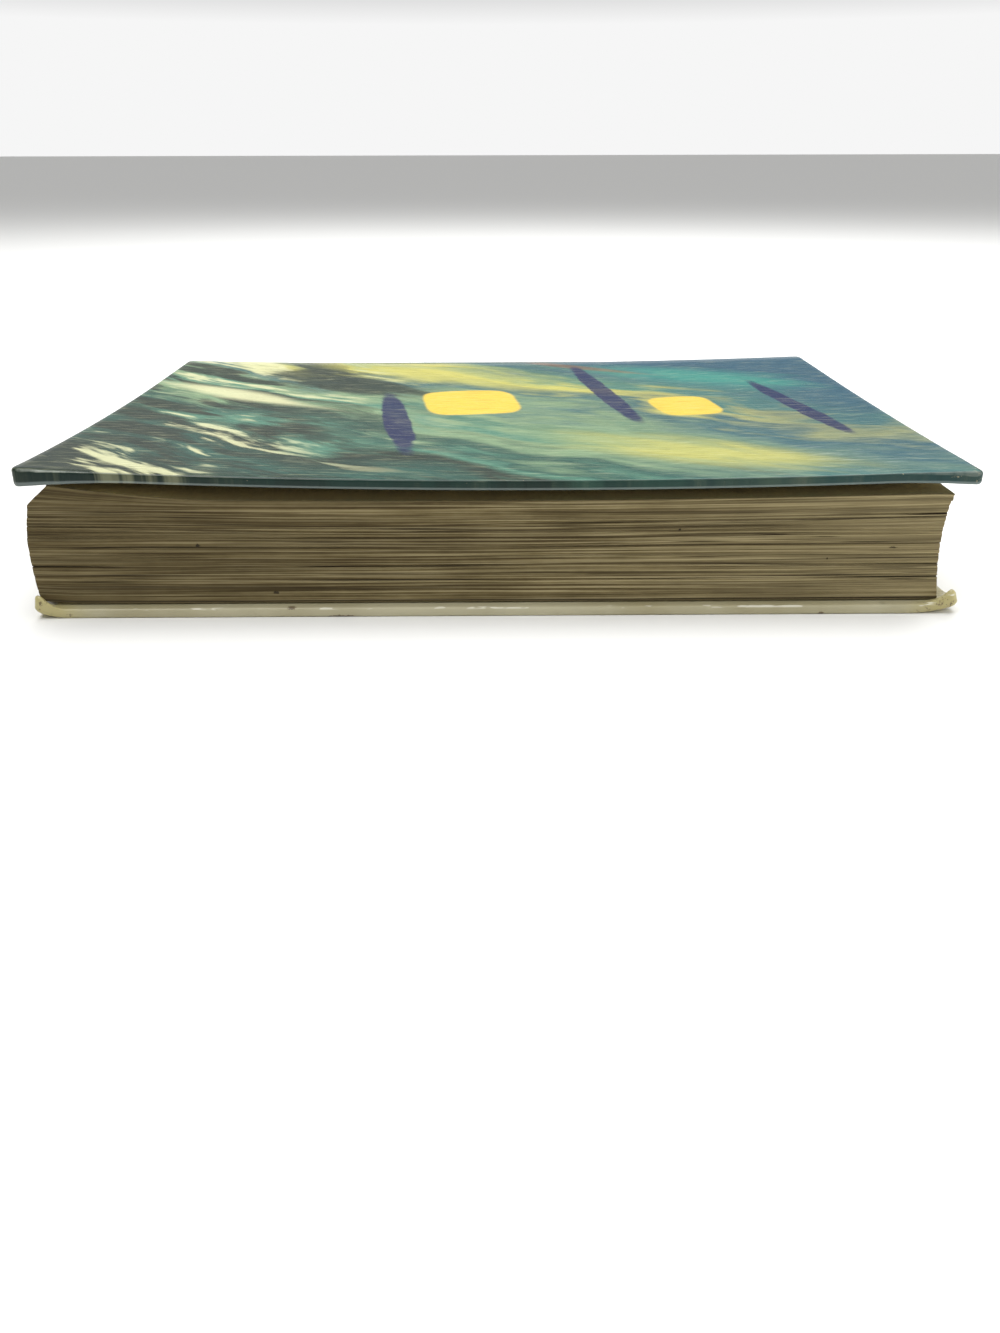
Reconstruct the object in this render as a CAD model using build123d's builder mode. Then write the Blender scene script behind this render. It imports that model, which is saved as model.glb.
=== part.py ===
"""A thick case-bound textbook lying on its back cover.

X runs along the spine towards the head, Y from the fore edge to the spine, Z up from the surface.
The origin is the bottom centre of the book. Lengths are in millimetres, angles in degrees.
"""

import os

from build123d import *

# Covers: a board in its covering, with the covering turned in over the board's edges
case_height = 235.0  # tail to head
cover_depth = 173.0  # fore edge to the cover's spine edge
board_thickness = 1.9
covering_thickness = 0.3
turn_in_width = 15.0
fore_corner_radius = 2.0
spine_corner_radius = 2.5
edge_round = 0.4

# French groove between each cover and the spine, and the ridge and round of the spine
groove_width = 6.0
hinge_split_gap = 0.3
ridge_width = 3.0
ridge_drop = 1.2  # the spine's ridge stays this far inside the cover's outer face
ridge_round = 0.5
spine_round = 2.0  # how far the rounded spine stands out behind its ridges
hollow_gap = 0.3  # room behind the spine board for the covering's turn-ins

# Endpapers
endpaper_thickness = 0.2
pastedown_margin = 4.0
cover_clearance = 0.3  # between a pastedown and the flyleaf that faces it
glue_film = 0.03  # between a paper or cloth and what it is pasted on

# Text block
block_thickness = 27.2
fore_edge_square = 3.0
head_square = 3.2  # the covers stand out this far past the block's head, and past its tail
fore_edge_hollow = 1.5  # depth of the concave fore edge
block_sag = 2.0  # how far the leaves have slipped towards the tail at the fore edge
shoulder_clearance = 0.1

# Spine board, lining and bands
spine_board_thickness = 0.8
spine_board_inset = 0.8  # from the ridge's outer face to the edge of the spine board
lining_thickness = 0.4
lining_inset = 2.0  # from the block's faces to the edges of the lining
band_radius = 0.9
band_sides = 12
band_inset = 2.5
band_clearance = 0.1

# Warp of the front cover: its ends stand higher than its middle, with a slight twist, and it
# lifts towards the fore edge
tail_bow_at_spine = 1.4
head_bow_at_spine = 2.2
tail_bow_at_fore_edge = 3.1
head_bow_at_fore_edge = 2.3
lift_at_fore_edge = 1.9
lift_start = 130.0  # distance from the fore edge at which the lift begins
warp_overlap = 4.0  # the lofted layers run this far past the cover before they are cut to its plan

# Levels counted from a cover's outer face
skin_level = covering_thickness
board_level = skin_level + board_thickness
cover_level = board_level + covering_thickness
pastedown_level = cover_level + endpaper_thickness

# Heights above the surface
block_bottom = pastedown_level + cover_clearance + endpaper_thickness
block_top = block_bottom + block_thickness
front_face_height = block_top + endpaper_thickness + cover_clearance + pastedown_level
mid_height = (block_bottom + block_top) / 2
ridge_top = front_face_height - ridge_drop
ridge_half = ridge_top - mid_height

# Places along Y
joint_depth = cover_depth + groove_width
case_depth = joint_depth + ridge_width + spine_round
fore_edge_y = -case_depth / 2
spine_y = case_depth / 2
cover_spine_y = fore_edge_y + cover_depth
groove_wall_y = fore_edge_y + joint_depth
hinge_y = cover_spine_y + groove_width / 2
block_fore_y = fore_edge_y + fore_edge_square

# The rounded spine is a nest of arcs about one centre
spine_radius = (ridge_half**2 + spine_round**2) / (2 * spine_round)
spine_centre_y = spine_y - spine_radius
spine_board_outer = spine_radius - covering_thickness
spine_board_inner = spine_board_outer - spine_board_thickness
turn_in_inner = spine_board_inner - covering_thickness
lining_outer = spine_board_inner - hollow_gap
lining_inner = lining_outer - lining_thickness
block_spine_radius = lining_inner - glue_film

half_height = case_height / 2
half_block = half_height - head_square

# Distances from the fore edge of the sections that the front cover's layers are lofted through
lift_third = lift_start / 3
warp_stations = (-warp_overlap, lift_third, 2 * lift_third, lift_start, joint_depth + warp_overlap)


def arc_y(radius, height):
    """Y of a spine arc at a height above the middle of the block."""
    return spine_centre_y + (radius**2 - height**2) ** 0.5


def lift_share(distance):
    """Share of the fore-edge warp reached at a distance from the fore edge."""
    return (max(lift_start - distance, 0.0) / lift_start) ** 2


def blend(start, end, share):
    """The value at a share of the way from start to end."""
    return start + (end - start) * share


def cover_outline(y_start, y_end, half_length, fore_rounding=0.0, spine_rounding=0.0):
    """Plan of a cover's layer, with its corners rounded where they have a radius."""
    with BuildSketch() as outline:
        with Locations((0, (y_start + y_end) / 2)):
            Rectangle(2 * half_length, y_end - y_start)
        if fore_rounding > 0:
            fillet(outline.vertices().group_by(Axis.Y)[0], fore_rounding)
        if spine_rounding > 0:
            fillet(outline.vertices().group_by(Axis.Y)[-1], spine_rounding)
    return outline.sketch


def warped_layer(outline, outer_level, inner_level):
    """A layer of the front cover: lofted through sections that bow along X, then cut to its plan."""
    end = half_height + warp_overlap
    reach = (end / half_height) ** 2
    with BuildPart() as layer:
        for distance in warp_stations:
            share = lift_share(distance)
            middle = front_face_height + lift_at_fore_edge * share
            tail = middle + reach * blend(tail_bow_at_spine, tail_bow_at_fore_edge, share)
            head = middle + reach * blend(head_bow_at_spine, head_bow_at_fore_edge, share)
            with BuildSketch(Plane.XZ.offset(-fore_edge_y - distance)):
                with BuildLine():
                    top = ThreePointArc(
                        (-end, tail - outer_level), (0, middle - outer_level), (end, head - outer_level)
                    )
                    bottom = ThreePointArc(
                        (-end, tail - inner_level), (0, middle - inner_level), (end, head - inner_level)
                    )
                    Line(top @ 0, bottom @ 0)
                    Line(top @ 1, bottom @ 1)
                make_face()
        loft()
        with BuildSketch():
            add(outline)
        extrude(amount=2 * front_face_height, mode=Mode.INTERSECT)
    return layer.part


def flat_layer(outline, outer_level, inner_level):
    """A layer of the back cover, flat on the surface."""
    with BuildPart() as layer:
        with BuildSketch(Plane.XY.offset(outer_level)):
            add(outline)
        extrude(amount=inner_level - outer_level)
    return layer.part


def outer_face(slab, facing):
    """The broad face on the outer side of a cover's slab."""
    return slab.faces().sort_by(SortBy.AREA)[-2:].sort_by(Axis.Z, reverse=facing > 0)[0]


def cover_pieces(layer, facing):
    """The board, covering and pastedown of one cover: facing is 1 where its outer side is up."""
    board_start = fore_edge_y + covering_thickness
    board_end = cover_spine_y - covering_thickness
    board_half = half_height - covering_thickness
    board_plan = cover_outline(
        board_start,
        board_end,
        board_half,
        fore_corner_radius - covering_thickness,
        spine_corner_radius - covering_thickness,
    )
    cover_plan = cover_outline(
        fore_edge_y,
        cover_spine_y,
        half_height,
        fore_corner_radius,
        spine_corner_radius,
    )
    strip_plan = cover_outline(board_end, hinge_y - hinge_split_gap / 2, half_height - edge_round)
    window_plan = cover_outline(fore_edge_y + turn_in_width, board_end, half_height - turn_in_width)
    paper_plan = cover_outline(fore_edge_y + pastedown_margin, board_end, half_height - pastedown_margin)

    with BuildPart() as board:
        add(layer(board_plan, skin_level, board_level))

    with BuildPart() as covering:
        add(layer(cover_plan, 0, cover_level))
        fillet(outer_face(covering, facing).edges(), edge_round)
        add(board.part, mode=Mode.SUBTRACT)
        add(layer(window_plan, board_level, pastedown_level), mode=Mode.SUBTRACT)
        add(layer(strip_plan, pastedown_level - covering_thickness, pastedown_level))

    with BuildPart() as pastedown:
        add(layer(paper_plan, cover_level + glue_film, pastedown_level))
        add(layer(window_plan, board_level + glue_film, pastedown_level))

    return board, covering, pastedown


def export(piece, name):
    """Label a finished piece and write its STEP file."""
    piece.part.label = name
    export_step(piece.part, f"parts/{name}.step")


os.makedirs("parts", exist_ok=True)

# Front cover: warped, lifted off the block at the fore edge
front_board, front_cover_wrap, front_pastedown = cover_pieces(warped_layer, 1)

# Back cover: flat on the surface
back_board, back_cover_wrap, back_pastedown = cover_pieces(flat_layer, -1)

# Text block: its section across the leaves, with the concave fore edge, the shoulders that
# backing has pressed out over the joints, and the rounded spine
shoulder_y = groove_wall_y + covering_thickness + shoulder_clearance
shoulder_half = ridge_half - covering_thickness - shoulder_clearance
half_thickness = block_thickness / 2
shoulder_back_y = arc_y(block_spine_radius, shoulder_half)

with BuildSketch(Plane.XY) as block_plan:
    with BuildLine():
        Polyline(
            (-half_block - block_sag, block_fore_y),
            (half_block - block_sag, block_fore_y),
            (half_block, spine_y),
            (-half_block, spine_y),
            close=True,
        )
    make_face()

with BuildPart() as text_block:
    with BuildSketch(Plane.YZ) as block_section:
        with BuildLine():
            ThreePointArc(
                (block_fore_y, block_bottom),
                (block_fore_y + fore_edge_hollow, mid_height),
                (block_fore_y, block_top),
            )
            Polyline(
                (block_fore_y, block_top),
                (shoulder_y, block_top),
                (shoulder_y, mid_height + shoulder_half),
                (shoulder_back_y, mid_height + shoulder_half),
            )
            ThreePointArc(
                (shoulder_back_y, mid_height + shoulder_half),
                (spine_centre_y + block_spine_radius, mid_height),
                (shoulder_back_y, mid_height - shoulder_half),
            )
            Polyline(
                (shoulder_back_y, mid_height - shoulder_half),
                (shoulder_y, mid_height - shoulder_half),
                (shoulder_y, block_bottom),
                (block_fore_y, block_bottom),
            )
        make_face()
    extrude(amount=half_block + block_sag, both=True)
    with BuildSketch(Plane.XY):
        add(block_plan.sketch)
    extrude(amount=front_face_height, mode=Mode.INTERSECT)


def flyleaf(bottom):
    """A free endpaper lying against the block, as far as the spine's ridge."""
    with BuildPart() as leaf:
        with BuildSketch(Plane.XY.offset(bottom)):
            add(block_plan.sketch)
            split(bisect_by=Plane.XZ.offset(-groove_wall_y), keep=Keep.TOP)
        extrude(amount=endpaper_thickness)
    return leaf


front_flyleaf = flyleaf(block_top)
back_flyleaf = flyleaf(block_bottom - endpaper_thickness)

# Spine covering: the joint strips lie on the flyleaves, climb to the ridges and run round the back
strip_top = block_top + endpaper_thickness + covering_thickness
strip_bottom = block_bottom - endpaper_thickness - covering_thickness
ridge_back_y = arc_y(spine_radius, ridge_half)

with BuildSketch() as spine_envelope:
    with BuildLine():
        ThreePointArc(
            (ridge_back_y, mid_height + ridge_half),
            (spine_y, mid_height),
            (ridge_back_y, mid_height - ridge_half),
        )
        Polyline(
            (ridge_back_y, mid_height - ridge_half),
            (groove_wall_y, mid_height - ridge_half),
            (groove_wall_y, strip_bottom),
            (cover_spine_y, strip_bottom),
            (cover_spine_y, strip_top),
            (groove_wall_y, strip_top),
            (groove_wall_y, mid_height + ridge_half),
            (ridge_back_y, mid_height + ridge_half),
        )
    make_face()
    fillet(spine_envelope.vertices().filter_by_position(Axis.X, hinge_y, spine_y), ridge_round)

with BuildSketch() as spine_inside:
    add(spine_envelope.sketch)
    offset(amount=-covering_thickness, mode=Mode.REPLACE)


def spine_band(outer_radius, inner_radius, half_span):
    """A band of the spine's round between two radii, as far up and down as half_span."""
    with BuildSketch() as band:
        with BuildLine():
            outer = ThreePointArc(
                (arc_y(outer_radius, half_span), mid_height - half_span),
                (spine_centre_y + outer_radius, mid_height),
                (arc_y(outer_radius, half_span), mid_height + half_span),
            )
            inner = ThreePointArc(
                (arc_y(inner_radius, half_span), mid_height - half_span),
                (spine_centre_y + inner_radius, mid_height),
                (arc_y(inner_radius, half_span), mid_height + half_span),
            )
            Line(outer @ 0, inner @ 0)
            Line(outer @ 1, inner @ 1)
        make_face()
    return band.sketch


spine_board_half = ridge_half - spine_board_inset
fold_section = spine_band(spine_board_outer, turn_in_inner, spine_board_half)
turn_in_section = spine_band(spine_board_inner, turn_in_inner, spine_board_half)
spine_board_section = spine_band(spine_board_outer, spine_board_inner, spine_board_half)
lining_section = spine_band(lining_outer, lining_inner, half_thickness - lining_inset)

with BuildPart() as spine_wrap:
    with BuildSketch(Plane.YZ):
        add(spine_envelope.sketch)
        add(spine_inside.sketch, mode=Mode.SUBTRACT)
        split(bisect_by=Plane.YZ.offset(hinge_y + hinge_split_gap / 2), keep=Keep.TOP)
    extrude(amount=half_height, both=True)
    for side in (-1, 1):
        with BuildSketch(Plane.YZ.offset(side * half_height)):
            add(fold_section)
        extrude(amount=-side * covering_thickness)
        with BuildSketch(Plane.YZ.offset(side * half_height)):
            add(turn_in_section)
        extrude(amount=-side * turn_in_width)

with BuildPart() as spine_board:
    with BuildSketch(Plane.YZ):
        add(spine_board_section)
    extrude(amount=half_height - covering_thickness, both=True)

with BuildPart() as spine_lining:
    with BuildSketch(Plane.YZ):
        add(lining_section)
    extrude(amount=half_height - turn_in_width, both=True)


def spine_band_roll(side):
    """A rolled cloth band across the end of the block, just inside its rounded spine."""
    radius = block_spine_radius - band_radius
    half_span = half_thickness - band_inset
    x = side * (half_block + band_clearance + band_radius)
    with BuildPart() as roll:
        with BuildLine():
            path = ThreePointArc(
                (x, arc_y(radius, half_span), mid_height - half_span),
                (x, spine_centre_y + radius, mid_height),
                (x, arc_y(radius, half_span), mid_height + half_span),
            )
        with BuildSketch(path ^ 0):
            RegularPolygon(band_radius, band_sides)
        sweep()
    return roll


head_band = spine_band_roll(1)
tail_band = spine_band_roll(-1)

export(text_block, "text_block")
export(front_flyleaf, "front_flyleaf")
export(back_flyleaf, "back_flyleaf")
export(front_pastedown, "front_pastedown")
export(back_pastedown, "back_pastedown")
export(front_board, "front_board")
export(back_board, "back_board")
export(front_cover_wrap, "front_cover_wrap")
export(back_cover_wrap, "back_cover_wrap")
export(spine_wrap, "spine_wrap")
export(spine_board, "spine_board")
export(spine_lining, "spine_lining")
export(head_band, "head_band")
export(tail_band, "tail_band")
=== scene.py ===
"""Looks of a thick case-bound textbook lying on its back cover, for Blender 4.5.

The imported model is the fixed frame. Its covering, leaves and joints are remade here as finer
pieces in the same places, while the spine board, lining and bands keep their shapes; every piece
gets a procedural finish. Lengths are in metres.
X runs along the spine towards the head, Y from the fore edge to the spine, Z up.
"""

import logging
import math
import random
from dataclasses import dataclass
from enum import Enum
from typing import Callable, Union

import bmesh
import bpy
from mathutils import Matrix, Vector, noise


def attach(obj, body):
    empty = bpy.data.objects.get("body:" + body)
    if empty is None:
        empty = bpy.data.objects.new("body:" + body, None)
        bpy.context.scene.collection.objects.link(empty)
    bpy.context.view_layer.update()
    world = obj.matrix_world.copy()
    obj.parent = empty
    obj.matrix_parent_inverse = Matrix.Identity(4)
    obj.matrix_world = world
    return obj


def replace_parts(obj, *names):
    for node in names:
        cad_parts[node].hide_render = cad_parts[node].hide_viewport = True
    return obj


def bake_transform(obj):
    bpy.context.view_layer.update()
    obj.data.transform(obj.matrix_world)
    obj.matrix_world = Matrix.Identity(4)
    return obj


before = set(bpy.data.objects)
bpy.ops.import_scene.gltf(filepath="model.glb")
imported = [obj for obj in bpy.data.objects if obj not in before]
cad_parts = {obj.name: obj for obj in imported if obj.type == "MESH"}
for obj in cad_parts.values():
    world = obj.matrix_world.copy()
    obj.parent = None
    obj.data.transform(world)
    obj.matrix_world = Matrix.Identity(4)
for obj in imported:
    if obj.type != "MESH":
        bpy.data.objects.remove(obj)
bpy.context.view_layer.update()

log = logging.getLogger("textbook")

MM = 0.001
SMOOTH_ANGLE = math.radians(38)
HALF_LENGTH = 117.5 * MM
FORE_EDGE = -92 * MM
FLAT_PLACE = "flat_place"
LEAF_PLACE = "leaf_place"
LEAF_GAP = "leaf_gap"
FRAY_SEED = 7
EDGE_SHARE = 1e-6

Colour = tuple[float, float, float, float]
Value = Union["Flow", float]
Scale = tuple[float, float, float]
EdgeTest = Callable[[bmesh.types.BMEdge], bool]
FaceTest = Callable[[bmesh.types.BMFace], bool]


class Axis(Enum):
    """Directions of the book's frame."""

    ALONG = 0
    ACROSS = 1
    UP = 2


class Side(Enum):
    """Which cover a piece belongs to; the value is the way its outer face looks."""

    FRONT = 1
    BACK = -1


class End(Enum):
    """The two ends of the spine, as signs along X."""

    TAIL = -1
    HEAD = 1


def named(which: Enum, part: str) -> str:
    """The name of a part that one side or one end of the book has."""
    return f"{which.name.lower()}_{part}"


def paint(red: int, green: int, blue: int) -> Colour:
    """A colour as the eye reads it on screen, in linear light.

    Args:
        red, green, blue: screen values from 0 to 255.

    Returns:
        The linear colour with full opacity.
    """

    def linear(value: int) -> float:
        """One channel in linear light."""
        share = value / 255
        return share / 12.92 if share <= 0.04045 else ((share + 0.055) / 1.055) ** 2.4

    return (linear(red), linear(green), linear(blue), 1.0)


def ease(low: float, high: float, value: float) -> float:
    """A smooth step.

    Args:
        low: the value at which the step starts.
        high: the value at which it ends.
        value: where it is read.

    Returns:
        0 before low, 1 after high, and a smooth curve between.
    """
    share = min(max((value - low) / (high - low), 0.0), 1.0)
    return share * share * (3 - 2 * share)


def blend(start: float, end: float, share: float) -> float:
    """The value at a share of the way from start to end."""
    return start + (end - start) * share


# Shader values


class Flow:
    """A socket of a node tree that Python's arithmetic can use."""

    def __init__(self, bench: "NodeBench", socket: bpy.types.NodeSocket) -> None:
        """Keep the socket and the bench that adds nodes beside it."""
        self.bench = bench
        self.socket = socket

    def _math(self, operation: str, *values: Value) -> "Flow":
        """Add one Math node over these values."""
        return self.bench.node("ShaderNodeMath", {"operation": operation}, dict(enumerate(values)))

    def __add__(self, other: Value) -> "Flow":
        """Sum."""
        return self._math("ADD", self, other)

    __radd__ = __add__

    def __sub__(self, other: Value) -> "Flow":
        """Difference."""
        return self._math("SUBTRACT", self, other)

    def __rsub__(self, other: Value) -> "Flow":
        """Difference from a value on the left."""
        return self._math("SUBTRACT", other, self)

    def __mul__(self, other: Value) -> "Flow":
        """Product."""
        return self._math("MULTIPLY", self, other)

    __rmul__ = __mul__

    def __pow__(self, power: Value) -> "Flow":
        """Power."""
        return self._math("POWER", self, power)

    def smaller(self, other: Value) -> "Flow":
        """The smaller of two values."""
        return self._math("MINIMUM", self, other)

    def size(self) -> "Flow":
        """The value without its sign."""
        return self._math("ABSOLUTE", self)

    def sine(self) -> "Flow":
        """The sine of the value."""
        return self._math("SINE", self)

    def step(self, low: float, high: float) -> "Flow":
        """A smooth step from 0 at low to 1 at high."""
        return self.bench.node(
            "ShaderNodeMapRange",
            {"interpolation_type": "SMOOTHSTEP"},
            {"Value": self, "From Min": low, "From Max": high},
        )

    def band(self, low: float, high: float, soft: float) -> "Flow":
        """1 between low and high, with soft edges outside them."""
        return self.step(low - soft, low) * (1 - self.step(high, high + soft))


class NodeBench:
    """Adds nodes to one node tree."""

    def __init__(self, tree: bpy.types.NodeTree) -> None:
        """Keep the tree."""
        self.tree = tree

    def node(
        self,
        kind: str,
        settings: dict | None = None,
        inputs: dict | None = None,
        output: int | str = 0,
    ) -> Flow:
        """Add one node.

        Args:
            kind: Blender's type name of the node.
            settings: the node's own settings; "stops" are a colour ramp's positions and colours.
            inputs: values or flows by the socket's name or number.
            output: the name or number of the socket to return.

        Returns:
            The chosen output.
        """
        made = self.tree.nodes.new(kind)
        for name, setting in (settings or {}).items():
            if name == "stops":
                self._set_stops(made.color_ramp, setting)
            else:
                setattr(made, name, setting)
        for key, value in (inputs or {}).items():
            self._feed(made.inputs[key], value)
        return Flow(self, made.outputs[output])

    def _set_stops(self, ramp: bpy.types.ColorRamp, stops: list[tuple[float, Colour]]) -> None:
        """Give a colour ramp its stops."""
        for position, _ in stops[2:]:
            ramp.elements.new(position)
        for element, (position, colour) in zip(ramp.elements, stops):
            element.position = position
            element.color = colour

    def _feed(self, target: bpy.types.NodeSocket, value: object) -> None:
        """Link a flow to a socket, or set a plain value on it."""
        if isinstance(value, Flow):
            self.tree.links.new(value.socket, target)
        else:
            target.default_value = value

    def place(self) -> Flow:
        """The point on the piece, in its own frame."""
        return self.node("ShaderNodeTexCoord", output="Object")

    def noted(self, name: str, output: str = "Vector") -> Flow:
        """What one of the mesh's attributes holds at the point."""
        return self.node("ShaderNodeAttribute", {"attribute_name": name}, output=output)

    def parts(self, vector: Flow) -> tuple[Flow, Flow, Flow]:
        """The three numbers of a vector."""
        split = self.node("ShaderNodeSeparateXYZ", inputs={0: vector})
        return tuple(Flow(self, socket) for socket in split.socket.node.outputs)

    def vector(self, x: Value, y: Value, z: Value) -> Flow:
        """A vector of three numbers."""
        return self.node("ShaderNodeCombineXYZ", inputs={0: x, 1: y, 2: z})

    def scaled(self, vector: Flow, scale: Scale, turn: float = 0.0) -> Flow:
        """A vector turned about Z and then stretched by a scale for each axis."""
        turned = self.node("ShaderNodeMapping", inputs={"Vector": vector, "Rotation": (0.0, 0.0, turn)})
        return self.node("ShaderNodeMapping", inputs={"Vector": turned, "Scale": scale})

    def clouds(self, vector: Flow, scale: float, detail: float = 3.0, rough: float = 0.5) -> Flow:
        """Soft noise from 0 to 1."""
        inputs = {"Vector": vector, "Scale": scale, "Detail": detail, "Roughness": rough}
        return self.node("ShaderNodeTexNoise", inputs=inputs)

    def streaks(
        self, vector: Flow, scale: Scale, detail: float = 3.0, rough: float = 0.5, turn: float = 0.0
    ) -> Flow:
        """Soft noise from 0 to 1, drawn out by a scale for each axis."""
        return self.clouds(self.scaled(vector, scale, turn), 1.0, detail, rough)

    def mix(self, share: Value, first: object, second: object) -> Flow:
        """A colour between two colours."""
        inputs = {0: share, 6: first, 7: second}
        return self.node("ShaderNodeMix", {"data_type": "RGBA"}, inputs, output=2)

    def ramp(self, share: Flow, *stops: tuple[float, Colour]) -> Flow:
        """A colour read from a ramp."""
        return self.node("ShaderNodeValToRGB", {"stops": list(stops)}, {0: share})

    def relief(self, height: Flow, depth: float, strength: float = 1.0) -> Flow:
        """A bumped normal from a height between 0 and 1 and its real depth."""
        inputs = {"Height": height, "Distance": depth, "Strength": strength}
        return self.node("ShaderNodeBump", inputs=inputs)


class ShaderBench(NodeBench):
    """Builds the node tree of one material."""

    def __init__(self, name: str) -> None:
        """Make an empty material with a principled shader."""
        self.material = bpy.data.materials.new(name)
        self.material.use_nodes = True
        super().__init__(self.material.node_tree)
        self.tree.nodes.clear()
        output = self.tree.nodes.new("ShaderNodeOutputMaterial")
        self.shader = self.tree.nodes.new("ShaderNodeBsdfPrincipled")
        self.tree.links.new(self.shader.outputs[0], output.inputs[0])

    def finish(self, inputs: dict[str, object]) -> bpy.types.Material:
        """Set the shader's sockets by name and return the material."""
        for name, value in inputs.items():
            self._feed(self.shader.inputs[name], value)
        return self.material


# Finishes


@dataclass(frozen=True)
class Patch:
    """One painted field of the cover's print, from a pointed dart to a square-cornered bar."""

    colour: Colour
    centre: tuple[float, float]
    length: float
    width: float
    turn: float = 0.0
    squareness: float = 2.0
    soft: float = 0.3
    ragged: float = 0.5
    strength: float = 0.9

    def mask(self, along: Flow, across: Flow, brush: Flow) -> Flow:
        """How strongly the patch covers the ground.

        Args:
            along: the place along the spine.
            across: the place across the cover.
            brush: noise about zero that roughens the outline.

        Returns:
            A share from 0 to the patch's strength.
        """
        angle = math.radians(self.turn)
        x = along - self.centre[0] * MM
        y = across - self.centre[1] * MM
        run = x * math.cos(angle) + y * math.sin(angle)
        rise = y * math.cos(angle) - x * math.sin(angle)
        run_share = (run * (1 / (self.length * MM))).size() ** self.squareness
        rise_share = (rise * (1 / (self.width * MM))).size() ** self.squareness
        reach = (run_share + rise_share) ** (1 / self.squareness) + brush * self.ragged
        return (1 - reach.step(1 - self.soft, 1 + self.soft)) * self.strength


@dataclass(frozen=True)
class Spot:
    """A small dark mark on the fore edge, with its place and its half sizes in millimetres."""

    x: float
    z: float
    length: float
    thickness: float

    def mask(self, bench: NodeBench, along: Flow, height: Flow, ragged: Flow) -> Flow:
        """How strongly the mark covers the ground.

        Args:
            bench: the material's bench.
            along: the place along the spine.
            height: the place above the floor.
            ragged: noise about zero that roughens the outline.

        Returns:
            A share from 0 to 1.
        """
        run = (along - self.x * MM) * (1 / (self.length * MM))
        rise = (height - self.z * MM) * (1 / (self.thickness * MM))
        spot = bench.vector(run, 0.0, rise)
        reach = bench.node("ShaderNodeVectorMath", {"operation": "LENGTH"}, {0: spot}, "Value")
        return 1 - (reach + ragged).step(0.5, 1.1)


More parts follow.
